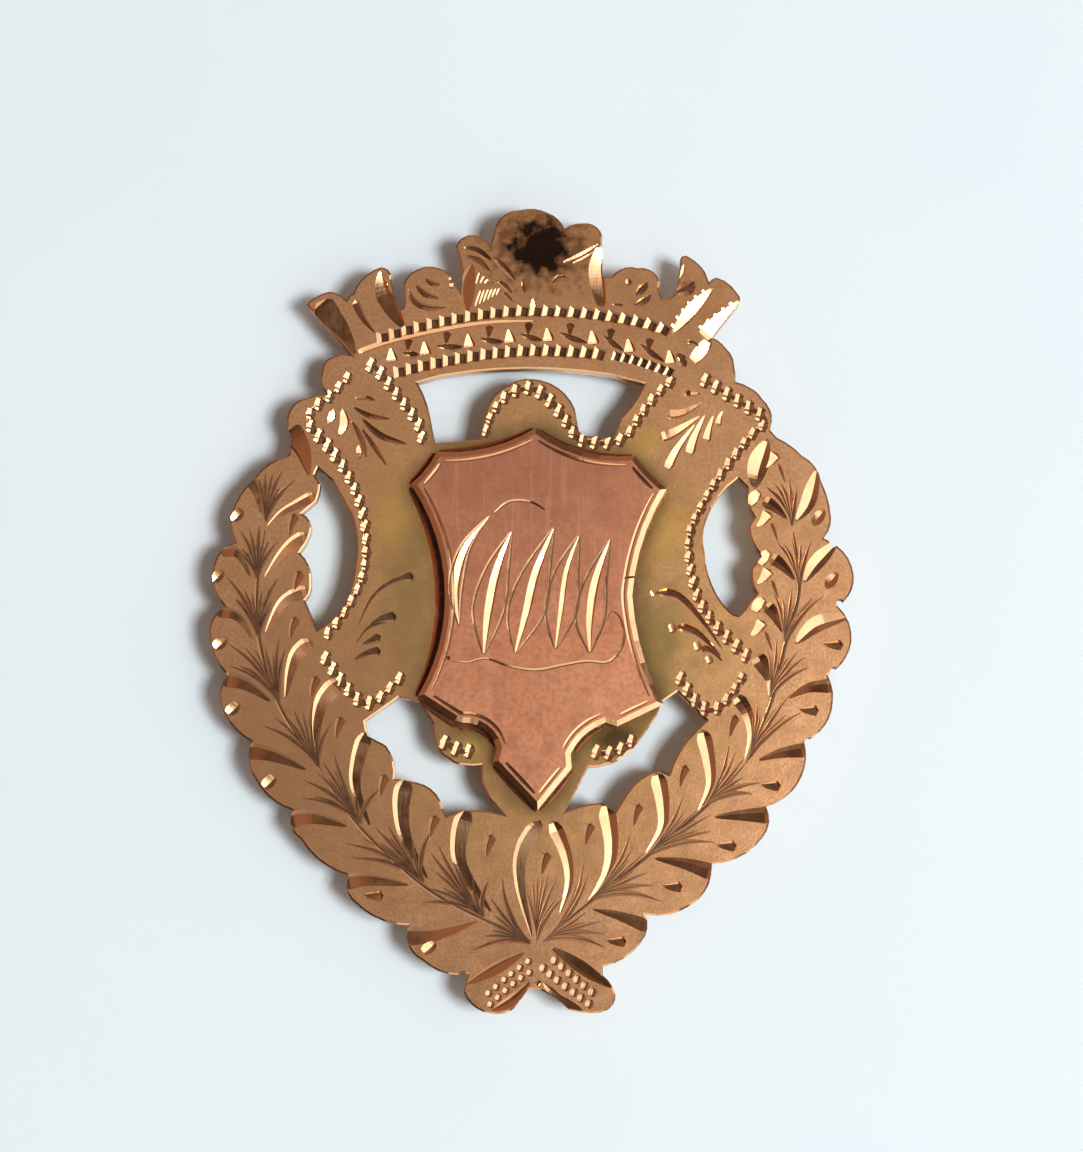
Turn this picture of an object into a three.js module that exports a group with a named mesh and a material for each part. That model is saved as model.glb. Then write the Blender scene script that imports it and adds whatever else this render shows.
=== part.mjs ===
// Cap badge: a pierced sheet cut as a crown, a scrolled cartouche and a laurel wreath, with a shield
// soldered on its face and a brooch pin, tube hinge and C catch soldered on its back.
// Millimetres. The badge lies on its back fittings, face up (+Z), with the crown towards +Y.
// The origin is under the middle of the badge, on the surface it lies on.
import * as THREE from 'three';

// Driving dimensions
const PLATE_THICKNESS = 1.0;
const SHIELD_THICKNESS = 0.8;
const PATCH_THICKNESS = 0.25;        // the solder patches that carry the hinge and the catch
const KNUCKLE_RADIUS = 0.7;          // the two outer tubes of the hinge
const PIN_KNUCKLE_RADIUS = 0.62;     // the middle tube, clear of the patch as it turns
const KNUCKLE_LENGTH = 1.0;
const KNUCKLE_GAP = 0.1;
const RIVET_RADIUS = 0.3;
const RIVET_CLEARANCE = 0.03;        // running fit in all three tubes
const RIVET_HEAD_RADIUS = 0.48;
const RIVET_HEAD_LENGTH = 0.18;
const STEM_RADIUS = 0.33;
const STEM_TIP_RADIUS = 0.04;
const STEM_ROOT_GAP = 0.06;          // between the middle tube and the wire brazed to it
const STEM_TIP_X = 9.4;
const STEM_TAPER_LENGTH = 3.0;
const HINGE_X = -7.6;
const HINGE_Y = 6.4;                 // the pin lies along this line when it is out of the catch
const CATCH_X = 7.6;
const CATCH_OFFSET = 1.05;           // how far the pin is pushed towards the crown to latch it
const CATCH_WIDTH = 1.2;
const CATCH_STRIP = 0.28;
const CATCH_LIP = 0.35;              // straight part of the C, past its round back
const HINGE_PATCH = { width: 3.2, height: 3.6, x: -7.4 };
const CATCH_PATCH = { width: 2.6, height: 2.7, x: CATCH_X };
const ARC_ERROR = 0.015;             // how far a step along an arc may cut inside it
const ROUND_SEGMENTS = 24;

// Heights, from the surface up
const PIN_Z = KNUCKLE_RADIUS;
const PATCH_Z = 2 * KNUCKLE_RADIUS;
const PLATE_Z = PATCH_Z + PATCH_THICKNESS;
const SHIELD_Z = PLATE_Z + PLATE_THICKNESS;

// Outlines run anticlockwise. A point is [x, y, bow]: bow is the rise of the arc to the next point over
// its chord, positive where the arc bulges out of the outline. Without a bow the next edge is straight.
const RIGHT_SHOULDER = [
  [12.8, 8.9], [12.45, 9.3, 0.05], [12.55, 10.1, 0.08], [12.05, 10.95, 0.08], [11.4, 11.55, 0.05],
  [10.65, 11.85, 0.05], [10.6, 12.65, 0.12], [10.15, 13.65, 0.08],
];
const CROWN = [
  // right plume and right ball
  [9.45, 14.2], [10.85, 15.95, 0.2], [10.75, 16.6, 0.1], [9.7, 17.4, 0.1], [9.3, 17.15],
  [9.1, 17.7, 0.06], [8.25, 18.5, 0.4], [7.8, 18.2], [7.65, 16.85, -0.2], [6.85, 16.25, -0.1],
  [6.7, 17.2, 0.2], [5.55, 17.9, 0.17], [4.2, 17.45],
  // central lobe between its two side scrolls
  [3.7, 17.45], [3.7, 19.6, 0.2], [2.7, 20.3, 0.1], [1.7, 20, 0.12], [0.85, 20.85, 0.1],
  [-0.65, 21, 0.2], [-2, 19.8], [-2.2, 19.1, 0.1], [-2.85, 19.6, 0.12], [-3.5, 19.6, 0.15],
  [-4, 19, -0.08],
  // left ball and left plumes
  [-3.75, 16.4], [-4.15, 17.3, 0.12], [-4.9, 17.9, 0.12], [-6.1, 17.8, 0.12], [-6.75, 17.05],
  [-6.7, 16.1, -0.2], [-7.05, 15.65], [-7.4, 17.3, 0.25], [-7.95, 17.95, 0.12], [-9.4, 16.55, 0.1],
  [-9.75, 16.2, 0.1], [-10.65, 16.65, 0.08], [-11.85, 15.95],
];
const LEFT_SHOULDER = [
  [-9.75, 13.55], [-9.4, 13.2, 0.12], [-10.4, 13.2, 0.18], [-11, 12.4, 0.12], [-10.95, 11.5],
  [-10.65, 11.15, 0.06], [-11.8, 11, 0.14], [-12.75, 10.2, 0.08], [-12.8, 9.5, -0.05],
  [-12.6, 8.8], [-12.65, 8.1],
];
const LEFT_WREATH = [
  [-12.75, 7.95, 0.1], [-14.5, 6.75, 0.08], [-15.7, 4.75, 0.08], [-15.45, 3.4, 0.14],
  [-16.55, 2.25, 0.05], [-16.6, 1.1, 0.05], [-15.95, 0, 0.16], [-16.75, -1.35, 0.1],
  [-15.8, -3.55, 0.12], [-16.15, -5.05, 0.1], [-14.5, -7, 0.14], [-14.25, -9, 0.1],
  [-12.35, -10.55, 0.2], [-11.9, -12.05, 0.1], [-9.4, -13.9, 0.2], [-9.1, -15.3, 0.1],
  [-6.35, -16.45, 0.2], [-5.6, -18.25, 0.12], [-3.3, -18.95],
];
const CROSSED_STEMS = [
  [-3.5, -19.85, 0.15], [-2.05, -20.95, 0.12], [-0.85, -20.65], [-0.15, -19.7, -0.1],
  [0.75, -19.9, -0.05], [1.9, -20.75, 0.06], [3.55, -20.9, 0.2], [4.3, -19.95, 0.08], [3.65, -19],
];
const RIGHT_WREATH = [
  [3.65, -18.55, 0.1], [5.6, -17.35, 0.15], [5.85, -15.9, 0.1], [8.15, -15.45, 0.12],
  [9.25, -13.85], [9.3, -13.3, 0.12], [11.95, -11.9, 0.15], [12.1, -10.35, 0.12],
  [13.95, -8.8, 0.09], [14.1, -7, 0.15], [15.6, -4.95, 0.08], [15.35, -3.55, 0.12],
  [16.6, -1.8, 0.12], [15.9, 0.05, 0.15], [16.75, 1.7, 0.13], [15.5, 3.45], [15.2, 3.6, 0.1],
  [15.6, 4.65, 0.05], [15.1, 6.6, 0.12], [14.1, 7.95, 0.05],
];
const PLATE_OUTLINE = [
  ...RIGHT_SHOULDER, ...CROWN, ...LEFT_SHOULDER, ...LEFT_WREATH, ...CROSSED_STEMS, ...RIGHT_WREATH,
];
const UNDER_CROWN = [
  [-5.05, 8.6], [-2.7, 8.8], [-2.4, 10.3, -0.12], [-1.2, 11.7, -0.1], [0, 12, -0.15], [2.25, 10.4],
  [2.45, 9.25, 0.1], [2.8, 9], [4.25, 8.9], [4.65, 9.95, 0.05], [5.9, 11.75], [4.2, 12.2, 0.042],
  [-4.8, 12.15], [-6, 11.8, -0.05], [-5.3, 9.85],
];
const LEFT_OPENING = [
  [-11.2, 7.3, 0.05], [-11.35, 6.95], [-11.05, 6.45, -0.05], [-11.25, 5.55], [-12, 4.9, -0.2],
  [-11.55, 3.85, -0.05], [-12.1, 2.85, -0.12], [-11.5, 1.35, -0.12], [-11.8, 0.35],
  [-11.15, -1.2], [-10.05, -0.4, 0.06], [-9.2, 2.15, 0.06], [-9.35, 4.7], [-10.4, 6.6],
];
const RIGHT_OPENING = [
  [10.75, 6.75, 0.08], [9.1, 4.55, 0.08], [9, 2.85, 0.05], [9.4, 1.1, 0.05], [10.25, -0.2, 0.1],
  [10.75, -0.45, 0.05], [11.3, 0.25], [11.7, 0.7, -0.1], [11.45, 2.05], [12, 2.65, -0.1],
  [11.3, 4.25], [11.6, 4.7, -0.1], [11.25, 6.25],
];
const LOWER_LEFT_OPENING = [
  [-8.65, -5.95], [-8.5, -6.7], [-7.55, -7.2, -0.1], [-7.1, -8.9], [-6, -9.1, -0.16],
  [-4.6, -10.45], [-4.4, -10.85, -0.06], [-3, -10.55, -0.05], [-1.4, -10.8], [-2.2, -9.95],
  [-2.6, -9.1], [-2.6, -8.2, -0.05], [-3.45, -8.2, -0.12], [-4.3, -7.9, -0.12],
  [-4.95, -7.15, -0.06], [-5.1, -6.1], [-5.85, -4.95], [-6.9, -4.7],
];
const LOWER_RIGHT_OPENING = [
  [1.7, -10.65, -0.05], [3.55, -10.15], [4.3, -10.65], [4.9, -9.7, -0.1], [6.6, -8.45],
  [7.1, -8.7, -0.05], [8.05, -6.9], [9.05, -5.9], [7.55, -4.4], [6.75, -4.95], [6.45, -5.7],
  [5.7, -6.8, -0.06], [4.7, -7.75, -0.1], [3.75, -8.2, -0.08], [2.95, -8.3], [2.4, -9.35],
];
const OPENINGS = [UNDER_CROWN, LEFT_OPENING, RIGHT_OPENING, LOWER_LEFT_OPENING, LOWER_RIGHT_OPENING];
const SHIELD_OUTLINE = [
  // hollow top edges and cut corners, down the waisted left side
  [0.2, 9.3, -0.08], [-4.95, 8.05, -0.06], [-6.3, 6.35, -0.075], [-4.5, 0.55, -0.07], [-5.9, -4.7],
  // scooped corners either side of the pointed foot
  [-3.95, -5.95], [-3.6, -6.05, -0.18], [-1.8, -7.35], [-2, -8.1], [0.3, -10.55],
  [2.05, -8.4], [2, -7.65, -0.1], [3.8, -6.05], [4.4, -6.25],
  // up the waisted right side
  [6.8, -5.1, -0.055], [5.2, 0.55, -0.06], [7, 6.1, -0.04], [5.35, 7.85, -0.1],
];

const gold = (color, roughness) => new THREE.MeshStandardMaterial({ color, roughness, metalness: 1 });
const PLATE_GOLD = gold(0xaa7d4b, 0.38);
const ROSE_GOLD = gold(0xc08a66, 0.32);
const FITTING_GOLD = gold(0xa8834f, 0.35);

/** The points of an outline with each bowed edge replaced by steps along its arc. */
function traced(outline) {
  return outline.flatMap(([x, y, bow = 0], i) => {
    const start = new THREE.Vector2(x, y);
    if (bow === 0) return [start];
    const [endX, endY] = outline[(i + 1) % outline.length];
    const chord = new THREE.Vector2(endX - x, endY - y);
    const outward = new THREE.Vector2(chord.y, -chord.x);
    const halfTurn = 2 * Math.atan(2 * Math.abs(bow));
    const radius = 0.5 / Math.sin(halfTurn);      // in chords
    const rise = Math.abs(bow) * chord.length();
    const steps = Math.max(2, Math.ceil(Math.sqrt(rise / ARC_ERROR)));
    return Array.from({ length: steps }, (_, step) => {
      const turn = halfTurn * ((2 * step) / steps - 1);
      const along = 0.5 + radius * Math.sin(turn);
      const out = Math.sign(bow) * radius * (Math.cos(turn) - Math.cos(halfTurn));
      return start.clone().addScaledVector(chord, along).addScaledVector(outward, out);
    });
  });
}

/** A flat sheet of an outline, standing on height z, with openings sawn through it. */
function sheet(outline, z, thickness, openings = []) {
  const shape = new THREE.Shape(traced(outline));
  shape.holes = openings.map((opening) => new THREE.Path(traced(opening)));
  return new THREE.ExtrudeGeometry(shape, { depth: thickness, bevelEnabled: false }).translate(0, 0, z);
}

/** A square-cornered patch of sheet soldered against the back of the plate, at height y on the badge. */
function patch({ width, height, x }, y) {
  return new THREE.BoxGeometry(width, height, PATCH_THICKNESS).translate(x, y, PATCH_Z + PATCH_THICKNESS / 2);
}

/** A tube along Y around the hinge's axis, its middle at distance y along the hinge. */
function knuckle(radius, y) {
  const bore = RIVET_RADIUS + RIVET_CLEARANCE;
  const half = KNUCKLE_LENGTH / 2;
  const wall = [[bore, -half], [radius, -half], [radius, half], [bore, half], [bore, -half]];
  return new THREE.LatheGeometry(wall.map(([r, h]) => new THREE.Vector2(r, h)), ROUND_SEGMENTS)
    .translate(HINGE_X, HINGE_Y + y, PIN_Z);
}

/** The hinge rivet, with a peened head at each end. */
function rivet() {
  const inner = 1.5 * KNUCKLE_LENGTH + KNUCKLE_GAP + RIVET_CLEARANCE;
  const outer = inner + RIVET_HEAD_LENGTH;
  const side = [
    [0, -outer], [0.7 * RIVET_HEAD_RADIUS, -outer], [RIVET_HEAD_RADIUS, -inner - RIVET_HEAD_LENGTH / 2],
    [RIVET_HEAD_RADIUS, -inner], [RIVET_RADIUS, -inner],
  ];
  const profile = [...side, ...side.map(([r, h]) => [r, -h]).reverse()];
  return new THREE.LatheGeometry(profile.map(([r, h]) => new THREE.Vector2(r, h)), ROUND_SEGMENTS)
    .translate(HINGE_X, HINGE_Y, PIN_Z);
}

/** The pin's wire: straight from the middle tube, then tapered to its point. */
function stem() {
  const rootX = HINGE_X + PIN_KNUCKLE_RADIUS + STEM_ROOT_GAP;
  const taperX = STEM_TIP_X - STEM_TAPER_LENGTH;
  const profile = [[0, rootX], [STEM_RADIUS, rootX], [STEM_RADIUS, taperX], [STEM_TIP_RADIUS, STEM_TIP_X],
    [0, STEM_TIP_X]];
  return new THREE.LatheGeometry(profile.map(([r, x]) => new THREE.Vector2(r, x)), ROUND_SEGMENTS)
    .rotateZ(-Math.PI / 2)
    .translate(0, HINGE_Y, PIN_Z);
}

/** A strip bent into a C that is open towards the foot of the badge, drawn in the Y-Z plane. */
function catchHook() {
  const outer = KNUCKLE_RADIUS;
  const inner = outer - CATCH_STRIP;
  const section = new THREE.Shape();
  section.moveTo(-CATCH_LIP, -outer);
  section.absarc(0, 0, outer, -Math.PI / 2, Math.PI / 2);
  section.lineTo(-CATCH_LIP, outer);
  section.lineTo(-CATCH_LIP, inner);
  section.absarc(0, 0, inner, Math.PI / 2, -Math.PI / 2, true);
  section.lineTo(-CATCH_LIP, -inner);
  const strip = { depth: CATCH_WIDTH, bevelEnabled: false, curveSegments: ROUND_SEGMENTS / 2 };
  // the section's x and y become +Y and +Z, and the strip's width runs along +X
  const toRow = new THREE.Matrix4().makeBasis(
    new THREE.Vector3(0, 1, 0), new THREE.Vector3(0, 0, 1), new THREE.Vector3(1, 0, 0));
  return new THREE.ExtrudeGeometry(section, strip)
    .applyMatrix4(toRow)
    .translate(CATCH_X - CATCH_WIDTH / 2, HINGE_Y + CATCH_OFFSET, PIN_Z);
}

const badge = new THREE.Group();

function add(name, geometry, material) {
  const mesh = new THREE.Mesh(geometry, material);
  mesh.name = name;
  badge.add(mesh);
}

const knuckleStep = KNUCKLE_LENGTH + KNUCKLE_GAP;
add('base_plate', sheet(PLATE_OUTLINE, PLATE_Z, PLATE_THICKNESS, OPENINGS), PLATE_GOLD);
add('shield', sheet(SHIELD_OUTLINE, SHIELD_Z, SHIELD_THICKNESS), ROSE_GOLD);
add('hinge_patch', patch(HINGE_PATCH, HINGE_Y), FITTING_GOLD);
add('hinge_knuckle_upper', knuckle(KNUCKLE_RADIUS, knuckleStep), FITTING_GOLD);
add('hinge_knuckle_lower', knuckle(KNUCKLE_RADIUS, -knuckleStep), FITTING_GOLD);
add('hinge_rivet', rivet(), FITTING_GOLD);
add('pin_knuckle', knuckle(PIN_KNUCKLE_RADIUS, 0), FITTING_GOLD);
add('pin_stem', stem(), FITTING_GOLD);
add('catch_patch', patch(CATCH_PATCH, HINGE_Y + CATCH_OFFSET), FITTING_GOLD);
add('catch_hook', catchHook(), FITTING_GOLD);

export default badge;
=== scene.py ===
"""A hand-engraved gold badge lying on pale card, lit by a window on its right.

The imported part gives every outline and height. This script cuts the engraving into the plate and the
shield as real grooves, and gives each piece its metal. Lengths are in millimetres; engrave() and the
factor MM bring them to metres.
"""
import math

import bmesh
import bpy
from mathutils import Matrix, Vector


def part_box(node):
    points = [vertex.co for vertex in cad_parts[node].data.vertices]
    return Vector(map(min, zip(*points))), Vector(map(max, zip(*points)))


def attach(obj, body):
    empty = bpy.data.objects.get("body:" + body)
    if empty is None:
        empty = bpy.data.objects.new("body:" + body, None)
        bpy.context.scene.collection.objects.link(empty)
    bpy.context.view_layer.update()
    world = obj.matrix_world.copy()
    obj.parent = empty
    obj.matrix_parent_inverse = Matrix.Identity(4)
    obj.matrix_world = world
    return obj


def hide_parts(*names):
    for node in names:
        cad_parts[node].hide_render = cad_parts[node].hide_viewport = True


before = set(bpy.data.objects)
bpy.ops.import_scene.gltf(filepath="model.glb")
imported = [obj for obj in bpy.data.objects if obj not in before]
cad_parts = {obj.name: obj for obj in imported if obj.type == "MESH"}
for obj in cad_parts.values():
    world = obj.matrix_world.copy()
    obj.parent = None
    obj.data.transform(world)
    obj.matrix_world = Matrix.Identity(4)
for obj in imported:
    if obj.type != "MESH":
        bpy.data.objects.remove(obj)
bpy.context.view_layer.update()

MM = 0.001
PLATE_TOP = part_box("base_plate")[1].z / MM
PLATE_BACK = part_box("base_plate")[0].z / MM
SHIELD_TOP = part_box("shield")[1].z / MM

# -------- outlines and slabs

FLAT = 1e-3                  # how far from a height a point may lie and still be on it
HAIRPIN = 0.3                # a corner whose sides' normals add up to less than this isn't moved
SHARPEST = 0.45              # mitres of corners sharper than this are cut short
CORNER = math.radians(28)    # an outline turns more than this at its corners, and less along its sides
SHORTEST = 0.8               # sides shorter than this get no line cut along them
BRIGHT, DIRT_AND_SHADE, BACK = 1, 2, 3     # material slots beside the worn face: clean cuts, old dirt with painted shade, the back


def rims(node, z):
    """The closed outlines of a CAD node's flat face at height z, in order round each, longest first."""
    mesh = bmesh.new()
    mesh.from_mesh(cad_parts[node].data)
    bmesh.ops.remove_doubles(mesh, verts=mesh.verts, dist=1e-6)

    def level(part):
        return all(abs(v.co.z / MM - z) < FLAT for v in part.verts)

    edges = [e for e in mesh.edges if level(e) and sum(level(f) for f in e.link_faces) == 1]
    following = {}
    for edge in edges:
        face = next(f for f in edge.link_faces if level(f))
        loop = next(l for l in face.loops if l.edge == edge)
        following[loop.vert.index] = loop.link_loop_next.vert.index
    mesh.verts.ensure_lookup_table()
    found = []
    while following:
        start, after = next(iter(following.items()))
        ring = [start]
        while after != start:
            ring.append(after)
            after = following.pop(after)
        following.pop(start, None)
        found.append([Vector((mesh.verts[i].co.x, mesh.verts[i].co.y)) / MM for i in ring])
    mesh.free()
    return sorted(found, key=length, reverse=True)


def length(points):
    return sum((b - a).length for a, b in zip(points, points[1:]))


def left_of(direction):
    return Vector((-direction.y, direction.x))


def inset(ring, distance):
    """The outline moved inwards, into the material, by a distance; corners keep their mitre."""
    moved = []
    for i, point in enumerate(ring):
        before = (point - ring[i - 1]).normalized()
        after = (ring[(i + 1) % len(ring)] - point).normalized()
        bisector = left_of(before) + left_of(after)
        if bisector.length < HAIRPIN:
            moved.append(point.copy())
            continue
        bisector.normalize()
        reach = distance / max(SHARPEST, bisector.dot(left_of(before)))
        moved.append(point + bisector * reach)
    return moved


def sides(ring):
    """The outline's points by number, parted at its corners."""
    count = len(ring)
    turns = [(ring[i] - ring[i - 1]).angle(ring[(i + 1) % count] - ring[i]) for i in range(count)]
    corners = [i for i in range(count) if turns[i] > CORNER]
    return [[i % count for i in range(a, b + 1)] for a, b in zip(corners, corners[1:] + [corners[0] + count])]


def lines_along(ring, distance):
    """The longer sides of an outline, moved inwards by a distance."""
    moved = inset(ring, distance)
    lines = [[moved[i] for i in side] for side in sides(ring)]
    return [line for line in lines if length(line) > SHORTEST]


def slab(name, metal, outlines, bottom, top, chamfer, drop):
    """A sheet of the outlines, the first outside the others, with a bright chamfer round its upper edge."""
    mesh = bmesh.new()
    levels = [(0.0, bottom), (0.0, top - drop), (chamfer, top)]
    caps = {bottom: [], top: []}
    for ring in outlines:
        rows = [row_of(mesh, inset(ring, distance), z) for distance, z in levels]
        count = len(ring)
        for low, high in zip(rows, rows[1:]):
            for i in range(count):
                j = (i + 1) % count
                face = mesh.faces.new((low[i], low[j], high[j], high[i]))
                face.material_index = BRIGHT if high is rows[-1] else 0
        for z, row in ((bottom, rows[0]), (top, rows[-1])):
            caps[z] += [mesh.edges.get((row[i], row[(i + 1) % count])) for i in range(count)]
    for edges in caps.values():
        bmesh.ops.triangle_fill(mesh, use_beauty=True, edges=edges)
    bmesh.ops.recalc_face_normals(mesh, faces=mesh.faces)
    for face in mesh.faces:
        if face.normal.z < -0.9:
            face.material_index = BACK
    sheet = as_object(name, mesh)
    for material in (metal, CUT_GOLD, PIT_GOLD, BACK_GOLD):
        sheet.data.materials.append(material)
    return sheet


def row_of(mesh, points, z):
    """New vertices over the points, all at height z."""
    return [mesh.verts.new((point.x, point.y, z)) for point in points]


def as_object(name, mesh):
    """A new object of a bmesh, which is freed."""
    data = bpy.data.meshes.new(name)
    mesh.to_mesh(data)
    mesh.free()
    piece = bpy.data.objects.new(name, data)
    bpy.context.scene.collection.objects.link(piece)
    return piece


# -------- the graver

CLEARANCE = 0.03             # how far a cutter stands above the face it cuts
MARGIN = 0.03                # how much wider than a cutter the circles round it are


def smooth(points, step):
    """Points about a step apart on a smooth curve through the given ones."""
    knots = [Vector(p) for p in points]
    ends = [2 * knots[0] - knots[1], *knots, 2 * knots[-1] - knots[-2]]
    line = []
    for a, b, c, d in zip(ends, ends[1:], ends[2:], ends[3:]):
        count = max(2, round((c - b).length / step))
        for i in range(count):
            t = i / count
            line.append(0.5 * (2 * b + (c - a) * t + (2 * a - 5 * b + 4 * c - d) * t ** 2
                               + (3 * b - a - 3 * c + d) * t ** 3))
    line.append(knots[-1])
    return line


def rounded(fullness):
    """The share of its width that a stroke has after a share t of its length: the same at both ends."""
    return lambda t: math.sin(math.pi * t) ** fullness


def pointed(rise, bluntness, fall):
    """The same for a stroke that swells fast and is drawn out to a point."""
    return lambda t: min(1.0, t / rise) ** bluntness * (1 - t) ** fall


spindle = rounded(0.8)
even = rounded(0.4)
tapered = pointed(0.12, 0.6, 0.7)
nosed = pointed(0.2, 0.9, 0.7)
wedge = pointed(0.15, 0.5, 0.8)
long_wedge = pointed(0.05, 0.5, 0.35)


def swelling(t):
    """Tapered the other way round."""
    return tapered(1 - t)


def blade(t):
    """Drawn out at both ends, widest a third of the way along."""
    return math.sin(math.pi * t ** 0.75)


def bean(t):
    """Two round lobes with a waist between them."""
    return min(1.0, math.sin(math.pi * t) * 2.2) ** 0.6 * (0.86 + 0.14 * math.cos(4 * math.pi * t))


class Cut:
    """One stroke of the graver: a groove along a curve.

    The width is across the surface. The valley is how far across it the deepest line lies, from 0 at
    the left of the stroke to 1 at its right, and the depth is the width times the ratio. A core is the
    share of the width that old dirt and painted shade fill, flat, along the valley.
    """

    def __init__(self, points, width, valley=0.5, shape=spindle, ratio=0.25, core=0.0, step=0.22):
        self.stations = []
        line_points = smooth(points, step)
        travelled = [0.0]
        for a, b in zip(line_points, line_points[1:]):
            travelled.append(travelled[-1] + (b - a).length)
        last = len(line_points) - 1
        for i, point in enumerate(line_points):
            ahead = line_points[min(i + 1, last)] - line_points[max(i - 1, 0)]
            left = left_of(ahead).normalized()
            self.stations.append((point, left, width * shape(travelled[i] / travelled[-1])))
        self.valley, self.ratio, self.core = valley, ratio, core

    def circles(self):
        """Circles that hold the whole cutter, which spreads a little above the face."""
        spread_above = CLEARANCE * max(self.valley, 1 - self.valley) / self.ratio
        return [(p.x, p.y, w / 2 + spread_above + MARGIN) for p, _, w in self.stations]

    def section(self, width, top):
        """Shares of the way across, and heights, of the groove's corners from left to right."""
        depth = max(width, 0.02) * self.ratio
        grow = CLEARANCE / depth
        high, low = top + CLEARANCE, top - depth
        left, right = self.valley - self.core / 2, self.valley + self.core / 2
        floor = [(self.valley, low)] if self.core == 0 else [(left, low), (right, low)]
        return [(-left * grow, high), *floor, (1 + (1 - right) * grow, high)]

    def build(self, mesh, top):
        """Adds the closed cutter of this stroke."""
        rows = []
        for i, (point, left, width) in enumerate(self.stations):
            if i in (0, len(self.stations) - 1):
                rows.append(row_of(mesh, [point], top + CLEARANCE))
                continue
            places = [(point + left * width * (0.5 - share), z) for share, z in self.section(width, top)]
            rows.append([mesh.verts.new((p.x, p.y, z)) for p, z in places])
        walls = 3 if self.core == 0 else 4
        for a, b in zip(rows, rows[1:]):
            for k in range(walls):
                corners = [a[k % len(a)], a[(k + 1) % len(a)], b[(k + 1) % len(b)], b[k % len(b)]]
                corners = [v for n, v in enumerate(corners) if v not in corners[:n]]
                face = mesh.faces.new(corners)
                face.material_index = DIRT_AND_SHADE if walls == 4 and k == 1 else BRIGHT


class Pit:
    """A punched pit turned to lie along a direction: a hole dark with dirt and painted shade, with a broad
    bright slope before it.
    """

    FALL = 0.36                  # how steeply the slope and the rims go down
    RIM, DEPTH = 0.05, 0.2

    def __init__(self, centre, along, length, height, slope):
        self.centre, self.along = centre, along.normalized()
        self.length, self.height, self.slope = length, height, slope

    def circles(self):
        return [(self.centre.x, self.centre.y, 0.5 * math.hypot(self.length, self.height) + MARGIN)]

    def build(self, mesh, top):
        across = left_of(self.along)
        spread_above = CLEARANCE / self.FALL
        levels = [(-spread_above, -spread_above, top + CLEARANCE),
                  (self.slope, self.RIM, top - self.slope * self.FALL),
                  (self.slope + 0.02, self.RIM + 0.02, top - self.DEPTH)]
        rows = []
        for slope, rim, z in levels:
            start, end = slope - self.length / 2, self.length / 2 - rim
            side = self.height / 2 - rim
            corners = [self.centre + self.along * x + across * y
                       for x, y in ((start, -side), (end, -side), (end, side), (start, side))]
            rows.append(row_of(mesh, corners, z))
        mesh.faces.new(rows[0])
        mesh.faces.new(rows[-1][::-1]).material_index = DIRT_AND_SHADE
        for slot, upper, lower in ((BRIGHT, rows[0], rows[1]), (DIRT_AND_SHADE, rows[1], rows[2])):
            for i in range(4):
                j = (i + 1) % 4
                mesh.faces.new((upper[i], lower[i], lower[j], upper[j])).material_index = slot


class SawCut:
    """A round bite of the saw through the whole sheet."""

    SIDES, RADIUS = 12, 0.22

    def __init__(self, x, y):
        self.centre = Vector((x, y))

    def circles(self):
        return [(self.centre.x, self.centre.y, self.RADIUS + MARGIN)]

    def build(self, mesh, top):
        turns = [2 * math.pi * i / self.SIDES for i in range(self.SIDES)]
        rim = [self.centre + Vector((math.cos(a), math.sin(a))) * self.RADIUS for a in turns]
        low, high = (row_of(mesh, rim, z) for z in (PLATE_BACK - CLEARANCE, top + CLEARANCE))
        faces = [mesh.faces.new(low), mesh.faces.new(high[::-1])]
        faces += [mesh.faces.new((low[i], low[i - 1], high[i - 1], high[i])) for i in range(self.SIDES)]
        # The bite's walls take the dark slot: painted shade inside the notch.
        for face in faces:
            face.material_index = DIRT_AND_SHADE


LONGEST_CUT = 14             # cuts whose middles lie further apart than this can't meet


def passes(cuts):
    """The cuts in groups whose members stay clear of each other, so that each group is one cutter."""
    groups = []
    for cut in cuts:
        circles = cut.circles()
        group = next((g for g in groups if not any(touching(circles, other) for _, other in g)), None)
        if group is None:
            group = []
            groups.append(group)
        group.append((cut, circles))
    return [[cut for cut, _ in group] for group in groups]


def touching(circles, others):
    (ax, ay, _), (bx, by, _) = circles[len(circles) // 2], others[len(others) // 2]
    if abs(ax - bx) + abs(ay - by) > LONGEST_CUT:
        return False
    return any((x - u) ** 2 + (y - v) ** 2 < (r + s) ** 2 for x, y, r in circles for u, v, s in others)


def engrave(piece, cuts, top):
    """Cuts the strokes out of a piece, one pass at a time, and brings it to metres."""
    for n, group in enumerate(passes(cuts)):
        mesh = bmesh.new()
        for cut in group:
            cut.build(mesh, top)
        bmesh.ops.triangulate(mesh, faces=mesh.faces)
        bmesh.ops.recalc_face_normals(mesh, faces=mesh.faces)
        cutter = as_object(f"graver_{n}", mesh)
        for material in piece.data.materials:
            cutter.data.materials.append(material)
        modifier = piece.modifiers.new("engrave", "BOOLEAN")
        modifier.operation = "DIFFERENCE"
        modifier.solver = "MANIFOLD"
        modifier.object = cutter
        depsgraph = bpy.context.evaluated_depsgraph_get()
        result = bpy.data.meshes.new_from_object(piece.evaluated_get(depsgraph))
        piece.modifiers.clear()
        piece.data = result
        bpy.data.objects.remove(cutter)
    for vertex in piece.data.vertices:
        vertex.co *= MM
    piece.data.update()


# -------- metals


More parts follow.
